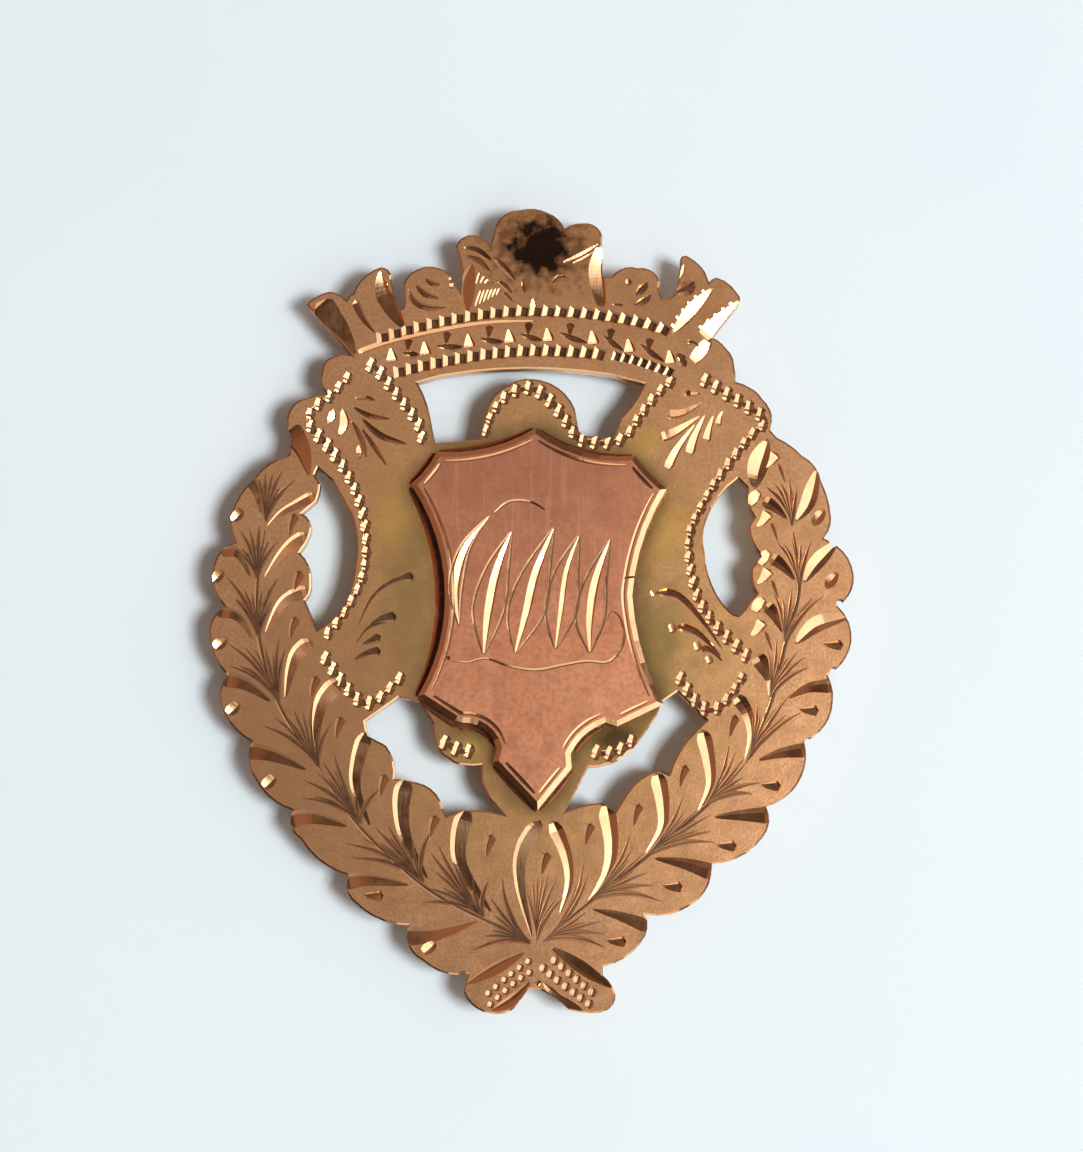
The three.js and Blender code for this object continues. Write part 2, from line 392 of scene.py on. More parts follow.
class Nodes:
    """A short way to write a node tree."""

    def __init__(self, tree):
        self.tree = tree

    def add(self, kind, inputs, **settings):
        """Adds a node and gives its outputs."""
        node = self.tree.nodes.new(kind)
        for key, value in settings.items():
            setattr(node, key, value)
        self.fill(node, inputs)
        return node.outputs

    def fill(self, node, inputs):
        """Links each input to the output given for it, or sets it to the value given."""
        for socket, value in inputs.items():
            if isinstance(value, bpy.types.NodeSocket):
                self.tree.links.new(value, node.inputs[socket])
            else:
                node.inputs[socket].default_value = value

    def math(self, operation, a, b):
        return self.add("ShaderNodeMath", {0: a, 1: b}, operation=operation)["Value"]

    def ramp(self, value, low, high, start=0.0, end=1.0, kind="LINEAR"):
        """A number that goes from start to end while the value goes from low to high."""
        inputs = {"Value": value, "From Min": low, "From Max": high, "To Min": start, "To Max": end}
        return self.add("ShaderNodeMapRange", inputs, interpolation_type=kind)["Result"]

    def mix(self, factor, a, b):
        """A colour between two, each an output or a triple."""
        a, b = ((*colour, 1) if isinstance(colour, tuple) else colour for colour in (a, b))
        return self.add("ShaderNodeMix", {"Factor": factor, 6: a, 7: b}, data_type="RGBA")[2]


class Surface(Nodes):
    """The nodes of a material."""

    def __init__(self, name):
        self.material = bpy.data.materials.new(name)
        self.material.use_nodes = True
        super().__init__(self.material.node_tree)
        self.shader = self.tree.nodes["Principled BSDF"]
        self.place = self.add("ShaderNodeTexCoord", {})["Object"]

    def noise(self, per_mm, detail=3.0, stretch=(1, 1, 1), turn=0.0):
        scale = [share * per_mm / MM for share in stretch]
        inputs = {"Vector": self.place, "Rotation": (0, 0, turn), "Scale": scale}
        place = self.add("ShaderNodeMapping", inputs)["Vector"]
        return self.add("ShaderNodeTexNoise", {"Vector": place, "Scale": 1.0, "Detail": detail})["Fac"]

    def vary(self, low, high, per_mm, detail=3.0, margin=0.3):
        """A number that wanders from place to place between two."""
        return self.ramp(self.noise(per_mm, detail), margin, 1 - margin, low, high)

    def blend(self, a, b, per_mm, detail=3.0, stretch=(1, 1, 1)):
        """Two colours in soft patches."""
        return self.mix(self.ramp(self.noise(per_mm, detail, stretch), 0.35, 0.65), a, b)

    def tint(self, base, colour, mask, amount):
        """The base, turned towards a colour by the mask's share of the amount."""
        return self.mix(self.math("MULTIPLY", mask, amount), base, colour)

    def near(self, x, y, half_width, half_height, soft, wobble=0.0):
        """1 inside an ellipse round a point on the badge, falling to 0 over the soft share of its size."""
        inputs = {"Vector": self.place, "Location": (x * MM, y * MM, 0),
                  "Scale": (half_width * MM, half_height * MM, 1)}
        place = self.add("ShaderNodeMapping", inputs, vector_type="TEXTURE")["Vector"]
        flat = self.add("ShaderNodeVectorMath", {0: place, 1: (1, 1, 0)}, operation="MULTIPLY")["Vector"]
        distance = self.add("ShaderNodeVectorMath", {0: flat}, operation="LENGTH")["Value"]
        return self.ramp(self.math("ADD", distance, wobble), 1 + soft, 1 - soft)

    def shelter(self, reach):
        """1 in the open, less where something stands within reach of the surface."""
        return self.add("ShaderNodeAmbientOcclusion", {"Distance": reach * MM}, samples=6)["AO"]

    def bump(self, height, strength, distance):
        inputs = {"Height": height, "Strength": strength, "Distance": distance * MM}
        self.fill(self.shader, {"Normal": self.add("ShaderNodeBump", inputs)["Normal"]})

    def finish(self, colour, roughness, metallic=1.0):
        self.fill(self.shader, {"Base Color": colour, "Roughness": roughness, "Metallic": metallic})
        return self.material


OLIVE, GOLDEN, SOOT = (0.33, 0.235, 0.085), (0.88, 0.52, 0.13), (0.06, 0.04, 0.018)

TARNISH = [       # x, y, half width, half height, softness, amount and colour of the patches round the shield
    (6.3, -2.2, 1.4, 3.4, 0.5, 0.65, OLIVE),
    (-6.4, 0.5, 1.2, 5.0, 0.5, 0.5, OLIVE),
    (-3.6, -7.0, 2.0, 1.2, 0.5, 0.7, OLIVE),
    (3.8, -7.0, 2.0, 1.2, 0.5, 0.7, OLIVE),
    (0.6, -9.4, 2.4, 1.3, 0.5, 0.5, OLIVE),
    (2.6, 8.9, 2.6, 0.9, 0.5, 0.5, OLIVE),
    (-3.0, 8.9, 2.2, 0.9, 0.5, 0.6, OLIVE),
    (-7.3, 4.6, 0.8, 1.4, 0.6, 0.55, GOLDEN),
    (6.9, 4.4, 0.9, 1.3, 0.6, 0.55, GOLDEN),
    (5.9, 8.6, 0.8, 0.8, 0.6, 0.55, GOLDEN),
    (-3.2, -7.4, 1.2, 0.6, 0.6, 0.55, GOLDEN),
    (4.5, -6.9, 1.1, 0.6, 0.5, 0.8, SOOT),
]


def plate_gold():
    """The plate's worn face: mottled yellow gold, greener round the shield, burnt on the crown; painted shade
    by the shield and on the lower left.
    """
    m = Surface("plate_gold")
    colour = m.blend((0.78, 0.395, 0.19), (0.86, 0.455, 0.225), 0.35)
    grain = m.ramp(m.noise(6.0, 4.0), 0.40, 0.64)
    colour = m.tint(colour, (0.64, 0.32, 0.15), grain, 0.8)
    green = m.near(0.3, -0.6, 10.5, 11.5, 0.35, m.vary(-0.15, 0.15, 0.5))
    colour = m.tint(colour, (0.68, 0.40, 0.125), green, 0.5)
    uneven = m.vary(-0.35, 0.35, 1.0, 5.0)
    for x, y, half_width, half_height, soft, amount, tarnish in TARNISH:
        patch = m.near(x, y, half_width, half_height, soft, uneven)
        colour = m.tint(colour, tarnish, patch, amount)
    # Painted shade: the plate darkens where the shield or another piece stands close over it.
    painted_shade_near_walls = m.ramp(m.shelter(1.1), 0.97, 0.55)
    colour = m.tint(colour, (0.10, 0.066, 0.024), painted_shade_near_walls, 0.8)
    dull_crown = m.near(0.0, 19.2, 4.6, 3.2, 0.6)
    colour = m.tint(colour, (0.55, 0.26, 0.11), dull_crown, 0.6)
    worn_plumes = m.near(7.2, 15.6, 3.6, 2.4, 0.6, uneven)
    colour = m.tint(colour, (0.56, 0.28, 0.12), worn_plumes, 0.55)
    # Painted shade: the lower left of the plate, on the side away from the window, is darkened.
    painted_shade_lower_left = m.near(-11.8, -7.5, 6.0, 7.0, 0.6, uneven)
    colour = m.tint(colour, (0.56, 0.29, 0.145), painted_shade_lower_left, 0.65)
    halo = m.near(0.45, 18.95, 2.2, 1.8, 0.4, m.vary(-0.7, 0.7, 2.2, 6.0, margin=0.25))
    colour = m.tint(colour, (0.20, 0.09, 0.04), halo, 0.75)
    burn = m.near(0.5, 19.0, 1.65, 1.25, 0.2, m.vary(-0.55, 0.55, 1.6, 6.0, margin=0.25))
    colour = m.tint(colour, (0.016, 0.010, 0.007), burn, 0.95)
    m.bump(m.noise(9.0, 4.0), 0.35, 0.012)
    return m.finish(colour, m.vary(0.22, 0.26, 1.2, 5.0))


def back_gold():
    """The plain back: duller gold with the marks of the last emery paper."""
    m = Surface("back_gold")
    colour = m.blend((0.66, 0.37, 0.16), (0.76, 0.44, 0.20), 0.4, 4.0)
    m.bump(m.noise(4.0, 3.0, (1, 0.06, 1), 0.9), 0.3, 0.01)
    return m.finish(colour, m.vary(0.30, 0.42, 1.5, 4.0))


def cut_gold():
    """The graver's own surface: clean, bright and finely streaked."""
    m = Surface("cut_gold")
    colour = m.blend((0.95, 0.53, 0.27), (0.97, 0.60, 0.33), 0.8)
    m.bump(m.noise(6.0, 2.0, (1, 0.2, 1), 0.6), 0.25, 0.01)
    return m.finish(colour, m.vary(0.11, 0.20, 1.5))


def pit_gold():
    """Old polish and dirt in the bottoms of the cuts, and painted shade there."""
    m = Surface("pit_gold")
    m.fill(m.shader, {"Specular IOR Level": 0.15})
    colour = m.blend((0.060, 0.024, 0.010), (0.135, 0.056, 0.022), 2.0)
    return m.finish(colour, m.vary(0.45, 0.65, 3.0), metallic=0.0)


def shield_gold():
    """The shield's rosier face, browner towards the top, with specks and fine scratches."""
    m = Surface("shield_gold")
    colour = m.blend((0.96, 0.385, 0.205), (1.0, 0.44, 0.24), 0.3)
    top = m.near(-0.5, 8.5, 9.0, 6.5, 0.6, m.vary(-0.2, 0.2, 0.6, 4.0))
    colour = m.tint(colour, (0.58, 0.245, 0.15), top, 0.75)
    grain = m.ramp(m.noise(4.0, 3.0), 0.42, 0.66)
    colour = m.tint(colour, (0.62, 0.24, 0.125), grain, 0.5)
    scratches = m.ramp(m.noise(4.0, 2.0, (1, 0.05, 1), -0.45), 0.60, 0.66)
    colour = m.tint(colour, (0.95, 0.55, 0.36), scratches, 0.22)
    blotches = m.ramp(m.noise(0.9, 5.0), 0.50, 0.68)
    colour = m.tint(colour, (0.50, 0.20, 0.12), blotches, 0.35)
    specks = m.ramp(m.noise(6.0, 1.0), 0.74, 0.79)
    colour = m.tint(colour, (1.0, 0.66, 0.47), specks, 0.5)
    m.bump(m.noise(2.2, 5.0, (1, 0.15, 1), 0.15), 0.3, 0.012)
    return m.finish(colour, m.vary(0.235, 0.26, 0.8))


def fitting_gold():
    """The back fittings: plain yellow gold, file marks running one way."""
    m = Surface("fitting_gold")
    colour = m.blend((0.70, 0.40, 0.15), (0.80, 0.48, 0.19), 0.7)
    m.bump(m.noise(5.0, 3.0, (1, 0.1, 1), 0.3), 0.3, 0.01)
    return m.finish(colour, m.vary(0.24, 0.38, 2.0))


def wire_gold():
    """The pin, its barrel and the rivet: drawn wire, paler and smoother, streaked along its length."""
    m = Surface("wire_gold")
    colour = m.blend((0.78, 0.52, 0.24), (0.86, 0.60, 0.31), 1.5, 3.0, (0.15, 1, 1))
    m.bump(m.noise(6.0, 2.0, (0.08, 1, 1)), 0.25, 0.006)
    return m.finish(colour, m.vary(0.18, 0.28, 2.5))


def card():
    """Pale, faintly blue card."""
    m = Surface("card")
    colour = m.mix(m.ramp(m.noise(0.05), 0.3, 0.7), (0.83, 0.93, 0.985), (0.86, 0.95, 1.0))
    m.bump(m.noise(3.0, 4.0), 0.15, 0.02)
    return m.finish(colour, m.vary(0.75, 0.9, 2.0), metallic=0.0)


PLATE_GOLD, CUT_GOLD, PIT_GOLD, BACK_GOLD = plate_gold(), cut_gold(), pit_gold(), back_gold()
SHIELD_GOLD, FITTING_GOLD, WIRE_GOLD = shield_gold(), fitting_gold(), wire_gold()

# -------- strokes on the plate
# Strokes run upwards, or from left to right, so a valley near 1 lies on the right or lower side.


def strokes(curves, valley, shape, ratio, core=0.0):
    """Cuts of one style along curves, each given with its width."""
    return [Cut(points, width, valley, shape, ratio, core) for points, width in curves]


def marks(places, curve, width, valley, shape, ratio, core=0.0, step=0.22):
    """The same short cut at each of the places."""
    return [Cut([(x + dx, y + dy) for dx, dy in curve], width, valley, shape, ratio, core, step)
            for x, y in places]


def fan(base, heading, tips, width=0.31, ratio=0.22, core=0.28):
    """Veins of a leaf: strokes that leave its base along the heading and thin out to the tips.

    Between two tips that stand well apart there is a shorter vein.
    """
    base, heading = Vector(base), Vector(heading).normalized()
    tips = [Vector(tip) for tip in tips]
    ends = list(tips)
    for a, b in zip(tips, tips[1:]):
        if (a - b).length > 0.6:
            ends.append(base.lerp((a + b) / 2, 0.82))
    veins = []
    for tip in ends:
        bend = base + heading * (tip - base).length * 0.45
        points = [base.lerp(bend, t).lerp(bend.lerp(tip, t), t) for t in (0.06, 0.35, 0.7, 1.0)]
        veins.append(Cut(points, width, 0.5, blade, ratio, core))
    return veins


def leaf_veins():
    """The veins and midribs; each leaf is given by its base, its heading and the tips of its veins."""
    left_leaves = [      # from the branch's tip down to the crossed stems
        ((-13.9, 4.2), (0, 1), [(-14.3, 6.9), (-13.95, 7.2), (-13.5, 7.15), (-12.95, 7.3), (-12.9, 6.35),
         (-12.25, 6.75)]),
        ((-14.3, 1.2), (0, 1), [(-15.6, 3.1), (-15.25, 4.1), (-14.75, 4.2), (-14.2, 4.4), (-13.65, 3.6),
         (-13.1, 3.6)]),
        ((-14.2, -1.9), (-0.1, 1), [(-16.0, 1.7), (-15.55, 0.5), (-15.05, 1.1), (-14.6, 0.9), (-14.0, 1.0),
         (-13.1, 1.7), (-13.5, 0.1)]),
        ((-13.0, -5.4), (-0.3, 1), [(-15.9, -1.8), (-15.9, -3.0), (-15.0, -2.0), (-14.45, -2.1),
         (-13.9, -1.9), (-13.1, -1.4), (-12.75, -2.0)]),
        ((-10.9, -8.6), (-0.5, 1), [(-14.1, -6.1), (-13.5, -5.6), (-12.95, -5.4), (-12.4, -5.2),
         (-11.9, -5.3), (-11.3, -4.6), (-10.35, -6.0)]),
        ((-8.7, -11.5), (-0.6, 1), [(-12.1, -9.9), (-12.0, -8.9), (-11.2, -8.5), (-10.9, -7.9),
         (-10.3, -7.4), (-7.7, -9.3)]),
        ((-5.4, -14.5), (-0.8, 1), [(-9.5, -13.0), (-9.8, -12.2), (-8.9, -11.9), (-8.2, -11.3),
         (-7.5, -11.2), (-5.1, -11.4)]),
        ((-2.3, -16.2), (-0.9, 0.9), [(-5.9, -15.3), (-5.5, -14.5), (-5.1, -13.6), (-5.4, -12.5),
         (-4.9, -12.2), (-4.2, -12.5), (-2.2, -14.1)]),
        ((0.15, -17.5), (-1, 0.6), [(-3.2, -17.8), (-2.6, -17.0), (-2.9, -16.0), (-2.2, -14.9),
         (-1.55, -13.8)]),
    ]
    right_leaves = [     # the middle leaf, then from the crossed stems up to the branch's tip
        ((0.25, -17.5), (0, 1), [(-0.35, -14.6), (-0.05, -14.0), (0.25, -13.7), (0.55, -13.8), (0.9, -13.6),
         (1.35, -13.9), (1.75, -14.9)]),
        ((0.3, -17.4), (1, 0.6), [(2.75, -12.8), (3.0, -13.5), (2.9, -15.7), (3.8, -16.2), (3.9, -16.9),
         (4.0, -17.7)]),
        ((2.7, -15.4), (1, 0.8), [(5.2, -11.4), (5.3, -12.3), (5.9, -12.6), (6.1, -13.7), (6.5, -14.4),
         (6.9, -15.3)]),
        ((5.7, -13.1), (1, 0.9), [(7.9, -9.6), (8.0, -10.4), (8.8, -10.3), (9.4, -10.7), (9.4, -11.6),
         (9.6, -12.2)]),
        ((8.8, -10.5), (0.8, 1), [(10.25, -6.9), (10.6, -7.4), (11.1, -7.7), (12.0, -9.1), (11.6, -9.7)]),
        ((11.1, -8.2), (0.4, 1), [(11.4, -5.2), (11.65, -4.8), (12.4, -4.8), (12.65, -5.2), (13.5, -4.4),
         (14.1, -5.4)]),
        ((12.3, -5.0), (0.2, 1), [(12.25, -2.2), (12.7, -1.6), (13.1, -1.8), (13.9, -2.2), (14.3, -2.5),
         (14.5, -3.1)]),
        ((13.1, -2.3), (0.1, 1), [(12.5, 0.9), (13.0, 0.7), (13.55, 1.2), (14.0, 0.8), (14.7, 0.6),
         (15.3, 0.7)]),
        ((13.9, 0.8), (0, 1), [(12.65, 3.5), (13.05, 3.4), (13.5, 3.6), (14.0, 3.5), (14.6, 3.6)]),
        ((13.55, 4.0), (0, 1), [(12.1, 6.4), (12.55, 6.6), (12.9, 6.7), (13.4, 6.9), (13.85, 6.4)]),
    ]
    midribs = [
        [(0.1, -17.3), (-2.4, -16.2), (-5.5, -14.5), (-8.8, -11.5), (-11.0, -8.5)],
        [(-10.7, -8.8), (-13.0, -5.3), (-14.1, -2.0), (-14.3, 1.0), (-13.9, 4.2)],
        [(0.5, -17.3), (2.9, -15.3), (5.8, -13.0), (8.9, -10.4), (11.1, -8.1)],
        [(11.0, -8.3), (12.4, -4.9), (13.1, -2.1), (13.9, 1.0), (13.6, 4.1)],
    ]
    veins = [vein for leaf in left_leaves for vein in fan(*leaf)]
    veins += [vein for leaf in right_leaves for vein in fan(*leaf, ratio=0.3, core=0.12)]
    return veins + [Cut(points, 0.26, 0.5, even, 0.22, 0.4) for points in midribs]


def leaf_crescents():
    """The wide cuts that part the leaves, each widest where it runs out at the leaf's edge."""
    inner_left = [
        ([(-13.9, 4.1), (-13.1, 4.9), (-12.2, 5.4), (-11.2, 5.9)], 0.7),
        ([(-14.0, 1.4), (-13.1, 2.7), (-12.4, 3.4), (-11.6, 3.8)], 0.75),
        ([(-13.9, -1.5), (-13.2, -0.1), (-12.6, 0.5), (-11.5, 0.9)], 0.85),
        ([(-12.8, -4.9), (-12.5, -3.2), (-12.1, -2.3), (-11.3, -1.8)], 0.95),
        ([(-11.1, -8.0), (-11.2, -6.2), (-10.8, -4.8), (-9.9, -3.8)], 1.1),
        ([(-8.3, -11.5), (-9.1, -9.4), (-9.0, -7.9), (-8.5, -6.4)], 0.95),
        ([(-5.3, -14.2), (-6.5, -12.0), (-6.75, -10.2), (-6.45, -8.8)], 1.1),
        ([(-2.0, -15.9), (-3.6, -13.5), (-3.75, -11.9), (-3.3, -10.4)], 1.1),
        ([(0.05, -17.2), (-0.6, -14.4), (-0.5, -12.6), (0.5, -11.0)], 0.95),
    ]
    inner_right = [
        ([(1.4, -16.0), (1.9, -14.3), (1.75, -12.8), (1.0, -11.0)], 0.85),
        ([(2.7, -15.6), (3.8, -13.9), (4.1, -12.3), (3.8, -10.1)], 1.0),
        ([(5.8, -12.9), (6.7, -11.5), (6.75, -10.1), (6.45, -8.5)], 0.95),
        ([(8.5, -10.8), (9.2, -9.3), (9.15, -7.9), (8.8, -6.3)], 0.9),
        ([(11.0, -8.1), (11.35, -6.7), (11.15, -5.5), (10.5, -4.5)], 0.8),
        ([(12.3, -4.8), (12.35, -3.8), (11.6, -2.4)], 0.95),
    ]
    upper_right = [
        ([(13.7, 4.4), (14.4, 5.5), (14.9, 7.3)], 0.8),
        ([(14.1, 1.2), (14.8, 2.3), (16.0, 3.5)], 0.8),
        ([(13.6, -2.0), (14.8, -0.9), (16.5, -0.5)], 0.85),
        ([(11.6, 6.1), (11.8, 7.4), (12.35, 8.9)], 1.1),
    ]
    inner_tips = [
        ([(12.0, 0.3), (12.6, -0.4), (13.2, -1.6)], 0.8),
        ([(12.3, 2.7), (13.0, 2.2), (13.8, 1.3)], 0.8),
        ([(11.9, 5.7), (12.7, 5.2), (13.4, 4.5)], 0.8),
    ]
    outer_left = [
        ([(-15.1, 7.0), (-14.4, 6.2), (-14.1, 4.8)], 0.8),
        ([(-16.3, 2.9), (-15.3, 2.8), (-14.6, 1.5)], 0.7),
        ([(-16.5, -0.2), (-15.3, -0.5), (-14.4, -1.8)], 0.7),
        ([(-16.2, -3.7), (-14.9, -4.0), (-13.4, -5.0)], 0.95),
        ([(-14.9, -7.4), (-13.4, -7.7), (-11.5, -8.5)], 1.0),
        ([(-12.7, -11.1), (-11.4, -10.9), (-9.4, -11.4)], 1.0),
        ([(-9.8, -14.3), (-8.5, -14.1), (-6.2, -14.4)], 0.95),
        ([(-6.8, -17.0), (-5.0, -16.9), (-2.7, -16.2)], 1.1),
    ]
    shoulder_left = [(-11.6, 6.8), (-12.0, 8.3), (-12.8, 9.5)]
    outer_right = [
        ([(3.0, -15.6), (4.6, -16.0), (6.2, -16.6)], 0.8),
        ([(6.2, -13.0), (7.9, -13.3), (9.5, -13.8)], 0.95),
        ([(9.3, -10.9), (10.9, -10.8), (12.5, -10.8)], 0.95),
        ([(11.6, -8.0), (12.9, -7.6), (14.4, -7.4)], 0.85),
        ([(13.2, -4.8), (14.4, -4.2), (15.8, -4.1)], 0.85),
    ]
    return [
        *strokes(inner_left, 0.27, swelling, 0.12),
        *strokes(inner_right, 0.55, swelling, 0.18),
        *strokes(upper_right, 0.6, spindle, 0.22),
        *strokes(inner_tips, 0.5, nosed, 0.22),
        *strokes(outer_left, 0.25, tapered, 0.2),
        Cut(shoulder_left, 1.35, 0.15, swelling, 0.24),
        *strokes(outer_right, 0.35, swelling, 0.2),
    ]


def leaf_nicks():
    """The short cuts near the leaves' edges."""
    glints = [(11.6, 5.75), (12.1, 2.6), (11.8, 0.15)]
    bright_left = [(-15.4, 4.8), (-16.4, 1.6), (-16.2, -1.9), (-15.5, -5.3), (-13.6, -9.1), (-5.3, -17.6)]
    dark_left = [(-12.5, 4.4), (-12.2, 1.4), (-12.4, -1.0), (-11.3, -4.1), (-10.0, -6.2), (-7.7, -9.2),
                 (-5.1, -11.3), (-2.2, -12.3), (0.65, -13.2), (2.9, -11.7), (5.4, -10.7), (7.8, -8.7),
                 (10.4, -6.1)]
    dark_right = [(4.5, -17.3), (7.4, -14.5), (10.2, -12.4), (12.5, -9.3), (14.5, -5.4), (15.8, -2.0),
                  (-8.0, -14.95)]
    bright_right = [(15.6, 1.4), (14.95, 4.7)]
    triangles = [(12.5, 7.6), (12.1, 4.5), (12.1, 1.5), (11.75, -1.2)]
    return [
        *marks(glints, [(-0.3, -0.45), (0, 0), (0.3, 0.35)], 0.6, 0.85, even, 0.3, step=0.12),
        *marks(bright_left, [(-0.35, -0.3), (0, 0), (0.35, 0.35)], 0.62, 0.6, even, 0.2, step=0.12),
        *marks(dark_left, [(-0.15, -0.75), (-0.05, -0.1), (0.2, 0.55)], 0.62, 0.36, swelling, 0.2, core=0.16),
        *marks(dark_right, [(-0.75, 0.05), (0, 0), (0.4, 0.02)], 0.62, 0.35, swelling, 0.24, core=0.3),
        *marks(bright_right, [(-0.35, -0.5), (0, 0), (0.35, 0.45)], 0.6, 0.5, spindle, 0.22, step=0.12),
        *marks(triangles, [(-0.45, -0.35), (-0.05, 0), (0.3, 0.5)], 0.72, 0.85, swelling, 0.32, step=0.12),
        *marks(triangles, [(0.75, -1.2), (0.5, -0.5), (0.3, 0)], 0.34, 0.5, swelling, 0.24, core=0.2),
    ]


def paced(points, pitch, first, step):
    """Places a pitch apart along a curve, the first of them that far along, each with the direction there."""
    fine = smooth(points, step)
    travelled, due = 0.0, first
    for a, b in zip(fine, fine[1:]):
        travelled += (b - a).length
        if travelled >= due:
            due += pitch
            yield b, (b - a).normalized()


def bead_row(points, pitch, size, height, slope):
    """Punched pits side by side along a curve."""
    return [Pit(place, ahead + Vector((0, -0.18)), size, height, slope)
            for place, ahead in paced(points, pitch, pitch, 0.05)]


def wriggle(points, pitch=0.68, lean=68, width=0.55):
    """A border of short leaning cuts over a dirty hairline, shorter where the curve leans as they do."""
    cuts = [Cut(points, 0.34, 0.5, even, 0.06, core=0.72)]
    for place, ahead in paced(points, pitch, pitch / 2, 0.03):
        turn = math.radians(lean + 7 * math.sin(5.3 * len(cuts)))
        along = Vector((math.cos(turn), math.sin(turn)))
        side = left_of(along) * 0.03
        ends = along * (0.33 + 0.15 * abs(along.cross(ahead)))
        curve = [place - ends, place - ends * 0.4 - side, place + ends * 0.4 + side, place + ends]
        uneven = width * (1 + 0.08 * math.sin(3.1 * len(cuts)))
        cuts.append(Cut(curve, uneven, 0.56, bean, 0.2, core=0.12, step=0.12))
    return cuts


def borders():
    curves = [
        [(-9.4, 12.3), (-10.4, 11.2), (-11.4, 10.4), (-11.6, 9.6), (-10.7, 8.5), (-9.8, 7.3), (-9.1, 5.9),
         (-8.7, 4.4), (-8.6, 3.0), (-8.8, 1.5), (-9.4, 0.2), (-10.3, -1.1), (-11.0, -1.8)],
        [(-10.9, -2.4), (-10.2, -3.4), (-9.5, -4.3), (-8.7, -5.0), (-7.9, -4.8), (-7.0, -3.9),
         (-6.6, -3.6)],
        [(-8.7, 12.9), (-8.0, 12.4), (-7.3, 11.5), (-6.6, 10.6), (-5.9, 9.6), (-5.7, 8.8)],
        [(-2.35, 8.9), (-2.3, 9.6), (-1.4, 11.0), (-0.1, 11.5), (1.0, 10.8), (2.0, 9.5), (2.5, 8.8),
         (4.0, 8.6), (5.0, 9.0), (5.8, 10.2), (6.7, 11.3), (7.7, 12.2)],
        [(8.8, 12.1), (9.9, 11.4), (11.0, 10.7), (12.2, 9.8), (11.4, 8.9), (10.4, 7.6), (9.6, 6.5),
         (8.9, 5.3), (8.3, 4.0), (8.2, 2.8), (8.4, 1.4), (8.8, 0.2), (9.6, -1.0), (10.7, -2.1),
         (11.4, -2.8)],
        [(11.1, -3.4), (10.4, -4.5), (9.6, -5.3), (8.8, -5.2), (8.0, -4.2), (7.7, -3.7)],
        [(-4.8, -6.9), (-3.6, -7.5), (-2.8, -7.4)],
        [(3.0, -7.5), (4.2, -7.6), (5.2, -7.0)],
    ]
    return [cut for curve in curves for cut in wriggle(curve)]


def crown_band():
    upper = [(-8.5, 14.0), (-6.4, 14.65), (-4.0, 15.2), (-1.5, 15.55), (0.5, 15.6), (3.0, 15.45),
             (5.5, 15.05), (7.3, 14.5)]
    lower = [(-7.6, 12.2), (-5.5, 12.75), (-2.5, 13.3), (0.0, 13.5), (2.5, 13.42), (4.0, 13.25)]
    lower_right = [(3.9, 13.27), (5.4, 12.95), (7.3, 12.3)]
    upper_left = [(-9.3, 13.35), (-7.5, 13.97), (-5.0, 14.55), (-2.3, 14.98), (0.3, 15.08)]
    wedges = [(-7.35, 13.27), (-5.6, 13.62), (-3.3, 14.02), (-1.17, 14.27), (0.85, 14.35), (3.2, 14.2),
              (5.1, 13.77), (7.25, 13.17)]
    cuts = [
        *bead_row(upper, 0.68, 0.63, 0.52, 0.25),
        *bead_row(lower, 0.66, 0.61, 0.56, 0.25),
        *bead_row(lower_right, 0.48, 0.44, 0.46, 0.14),
        Cut(upper_left, 0.34, 0.75, long_wedge, 0.38),
        *marks(wedges, [(0.05, -0.42), (0, 0), (-0.08, 0.45)], 0.74, 0.78, wedge, 0.24, step=0.1),
    ]
    for (x, y), (u, v) in zip(wedges, wedges[1:]):
        middle = Vector((x + u, y + v)) / 2
        falling = [(x + 0.5, y + 0.12), middle + Vector((0.1, -0.2)), (u - 0.25, v - 0.32)]
        rising = [middle + Vector((-0.05, 0.02)), middle + Vector((0.02, 0.72))]
        cuts.append(Cut(falling, 0.46, 0.3, spindle, 0.3, core=0.35))
        cuts.append(Cut(rising, 0.5, 0.45, swelling, 0.3, core=0.6, step=0.12))
    cuts.append(Cut([(0.08, 15.75), (0.05, 16.35)], 0.46, 0.8, wedge, 0.24, step=0.1))
    return cuts


def ragged(points, width, valley, shape, ratio, bites):
    """A broad bright cut whose left edge is a row of separate bites."""
    cuts = [Cut(points, width, valley, shape, ratio)]
    start, end = Vector(points[0]), Vector(points[-1])
    along = (end - start).normalized()
    left = left_of(along)
    for i in range(bites):
        share = (i + 1) / (bites + 1)
        middle = start.lerp(end, share) + left * width * 0.46 * shape(share)
        bite = [middle - along * 0.22, middle + along * 0.12 + left * 0.06]
        cuts.append(Cut(bite, 0.3, 0.8, spindle, 0.22, step=0.1))
    return cuts


